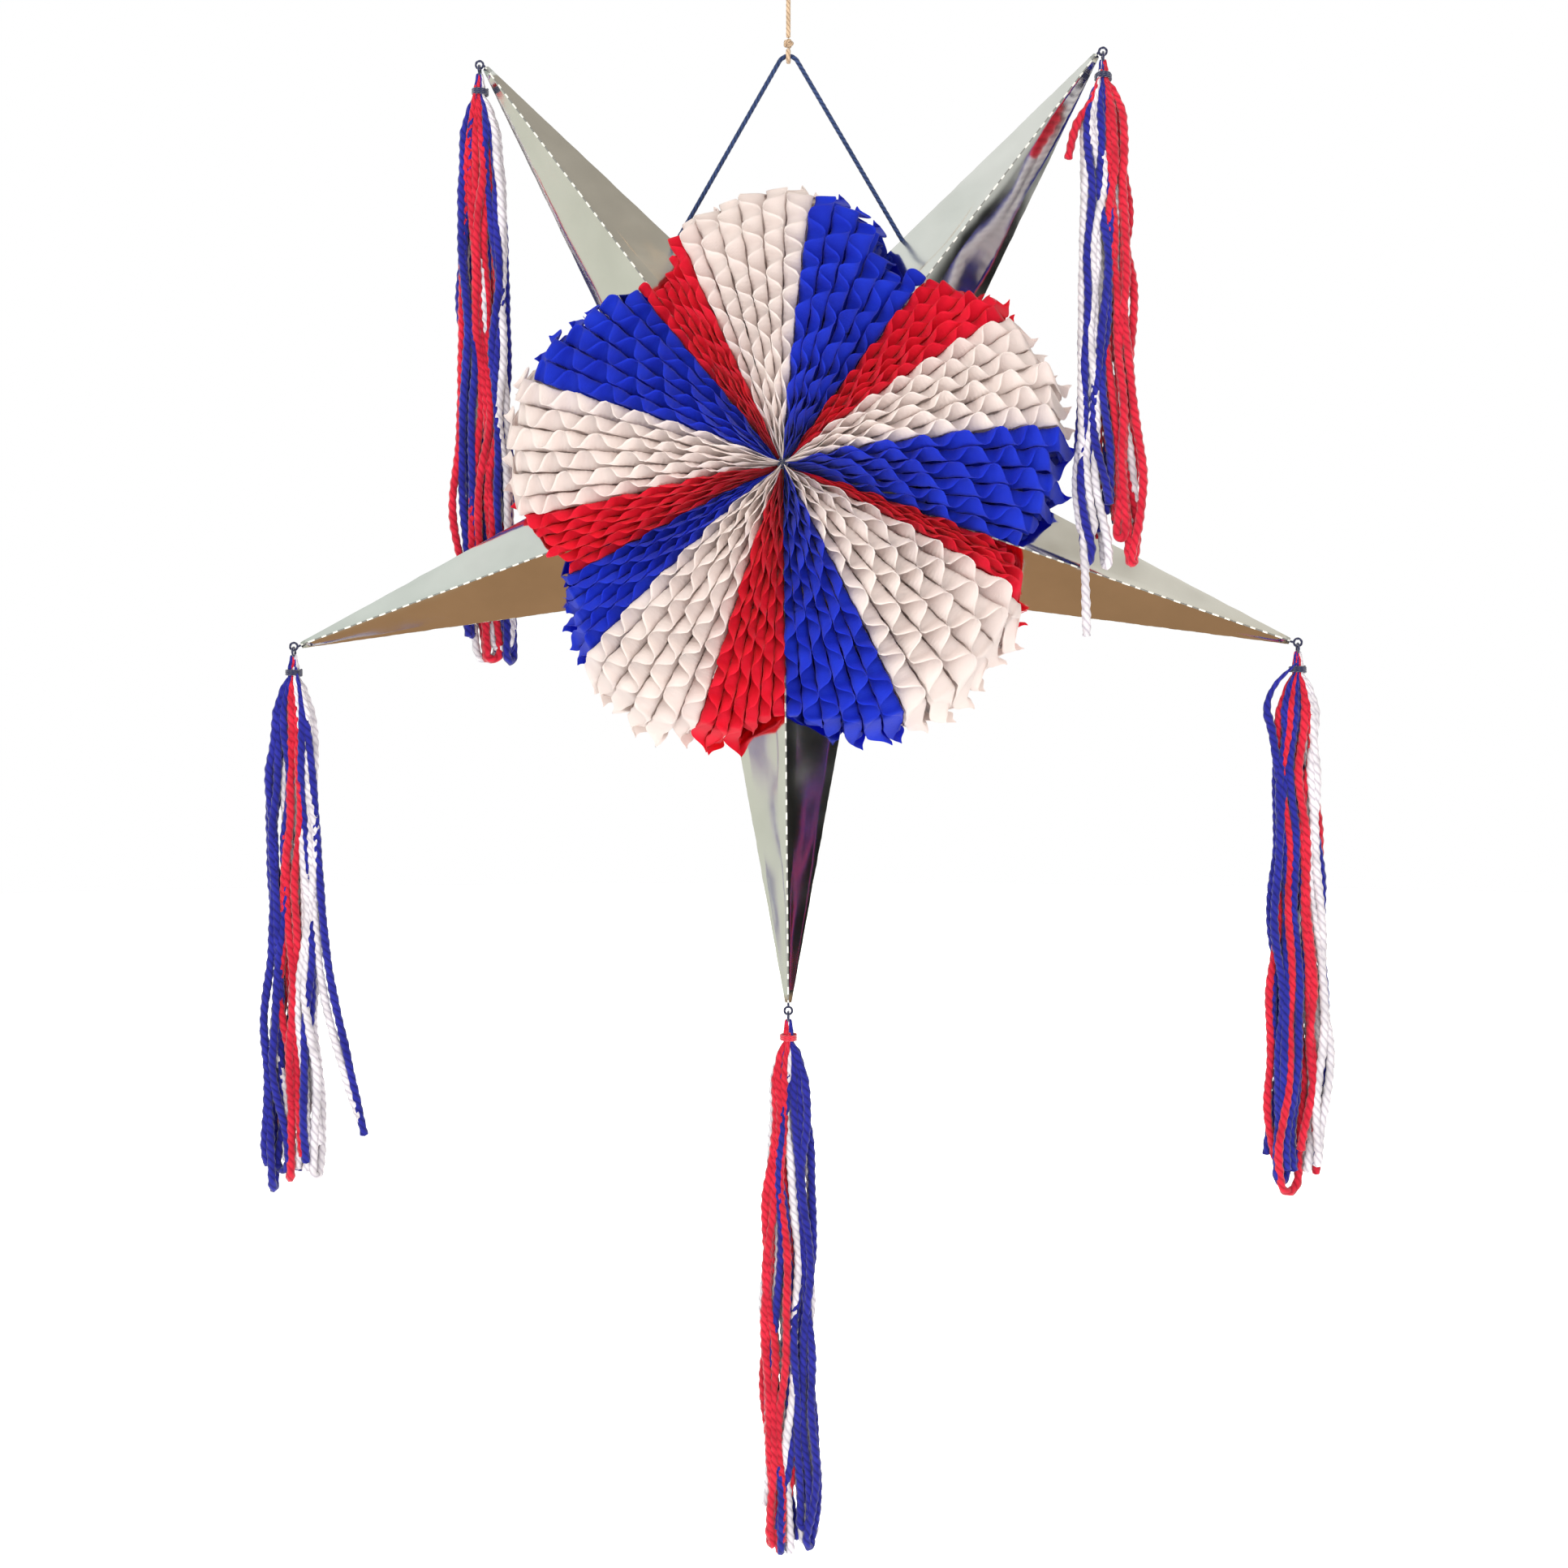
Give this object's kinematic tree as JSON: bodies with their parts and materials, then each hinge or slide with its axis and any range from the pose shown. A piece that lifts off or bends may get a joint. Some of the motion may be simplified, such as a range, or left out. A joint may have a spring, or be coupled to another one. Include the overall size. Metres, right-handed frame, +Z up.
{
  "type": "hanging star pinata",
  "caption": "Hanging star pinata: mirror-card cones on a candy box, honeycomb tissue rosette in three colours, yarn tassels and a cord bridle.",
  "frame": {"origin": "the point where a hook holds the string's loop, inside the loop's top", "axes": "+Z up along the hanging string, +X across the star to the right seen from its front, -Y out of the star's front"},
  "size_m": [0.613, 0.1723, 0.9422],
  "materials": {
    "mirror_card": "mirror film on card",
    "board": "plain uncoated card",
    "tissue_red": "matte translucent tissue paper",
    "tissue_white": "matte translucent tissue paper",
    "tissue_blue": "matte translucent tissue paper",
    "yarn": "matte fuzzy yarn",
    "navy_thread": "matte twisted yarn",
    "red_thread": "matte twisted yarn",
    "bridle": "matte twisted cord",
    "string": "matte twisted string"
  },
  "bodies": {
    "top_loop": {"hang_loop": "string"},
    "knot": {"twist_knot": "string"},
    "string": {"hanging_string": "string", "eye_knot": "string", "string_eye": "string"},
    "bridle": {"bridle_cord": "bridle", "bridle_knot_left": "bridle", "bridle_knot_right": "bridle"},
    "star": {"box_back_panel": "board", "box_front_panel": "board", "box_side_wall": "board", "centre_knot": "navy_thread", "cone_bottom": "mirror_card", "cone_left": "mirror_card", "cone_right": "mirror_card", "cone_top_left": "mirror_card", "cone_top_right": "mirror_card", "tip_loop_bottom": "navy_thread", "tip_loop_left": "navy_thread", "tip_loop_right": "navy_thread", "tip_loop_top_left": "navy_thread", "tip_loop_top_right": "navy_thread", "tissue_blue_left": "tissue_blue", "tissue_blue_lower_left": "tissue_blue", "tissue_blue_lower_right": "tissue_blue", "tissue_blue_right": "tissue_blue", "tissue_blue_top": "tissue_blue", "tissue_red_left": "tissue_red", "tissue_red_lower_left": "tissue_red", "tissue_red_lower_right": "tissue_red", "tissue_red_right": "tissue_red", "tissue_red_top": "tissue_red", "tissue_white_left": "tissue_white", "tissue_white_lower_left": "tissue_white", "tissue_white_lower_right": "tissue_white", "tissue_white_right": "tissue_white", "tissue_white_top": "tissue_white"},
    "flap": {"fill_flap": "board"},
    "link_top_left": {"tassel_link_top_left": "navy_thread"},
    "hanging_top_left": {"tassel_top_left": "yarn", "tassel_wrap_top_left": "navy_thread"},
    "link_top_right": {"tassel_link_top_right": "navy_thread"},
    "hanging_top_right": {"tassel_top_right": "yarn", "tassel_wrap_top_right": "navy_thread"},
    "link_left": {"tassel_link_left": "navy_thread"},
    "hanging_left": {"tassel_left": "yarn", "tassel_wrap_left": "navy_thread"},
    "link_right": {"tassel_link_right": "navy_thread"},
    "hanging_right": {"tassel_right": "yarn", "tassel_wrap_right": "navy_thread"},
    "link_bottom": {"tassel_link_bottom": "navy_thread"},
    "hanging_bottom": {"tassel_bottom": "yarn", "tassel_wrap_bottom": "red_thread"}
  },
  "joints": [
    {"name": "string_twist", "type": "hinge", "parent": "top_loop", "child": "knot", "pos_m": [0, 0, -0.018], "axis": [0, 0, 1], "continuous": true},
    {"name": "string_swing_front", "type": "hinge", "parent": "knot", "child": "string", "pos_m": [0, 0, -0.0213], "axis": [1, 0, 0], "range_deg": [-45, 45]},
    {"name": "bridle_rock_side", "type": "hinge", "parent": "string", "child": "bridle", "pos_m": [0, 0, -0.081], "axis": [0, 1, 0], "range_deg": [-30, 30]},
    {"name": "star_pitch", "type": "hinge", "parent": "bridle", "child": "star", "pos_m": [0, 0, -0.18175], "axis": [1, 0, 0], "range_deg": [-10, 10]},
    {"name": "fill_flap_hinge", "type": "hinge", "parent": "star", "child": "flap", "pos_m": [0, 0.0458, -0.297], "axis": [1, 0, 0], "range_deg": [0, 100]},
    {"name": "link_sway_top_left", "type": "hinge", "parent": "star", "child": "link_top_left", "pos_m": [-0.18006, 0, -0.07839], "axis": [1, 0, 0], "range_deg": [0, 45]},
    {"name": "tassel_swing_top_left", "type": "hinge", "parent": "link_top_left", "child": "hanging_top_left", "pos_m": [-0.18006, 0.0004, -0.08197], "axis": [0, 0.9938, 0.1115], "range_deg": [-1, 50]},
    {"name": "link_sway_top_right", "type": "hinge", "parent": "star", "child": "link_top_right", "pos_m": [0.18006, 0, -0.07839], "axis": [1, 0, 0], "range_deg": [-45, 0]},
    {"name": "tassel_swing_top_right", "type": "hinge", "parent": "link_top_right", "child": "hanging_top_right", "pos_m": [0.18006, -0.0004, -0.08197], "axis": [0, 0.9938, -0.1115], "range_deg": [-50, 1]},
    {"name": "link_sway_left", "type": "hinge", "parent": "star", "child": "link_left", "pos_m": [-0.28999, 0, -0.41671], "axis": [1, 0, 0], "range_deg": [-50, 50]},
    {"name": "tassel_swing_left", "type": "hinge", "parent": "link_left", "child": "hanging_left", "pos_m": [-0.28999, 0, -0.42031], "axis": [0, 1, 0], "range_deg": [-35, 55]},
    {"name": "link_sway_right", "type": "hinge", "parent": "star", "child": "link_right", "pos_m": [0.28999, 0, -0.41671], "axis": [1, 0, 0], "range_deg": [-50, 50]},
    {"name": "tassel_swing_right", "type": "hinge", "parent": "link_right", "child": "hanging_right", "pos_m": [0.28999, 0, -0.42031], "axis": [0, 1, 0], "range_deg": [-55, 35]},
    {"name": "link_sway_bottom", "type": "hinge", "parent": "star", "child": "link_bottom", "pos_m": [0, 0, -0.628], "axis": [1, 0, 0], "range_deg": [-50, 50]},
    {"name": "tassel_swing_bottom", "type": "hinge", "parent": "link_bottom", "child": "hanging_bottom", "pos_m": [0, 0, -0.6316], "axis": [0, 1, 0], "range_deg": [-55, 55]}
  ]
}
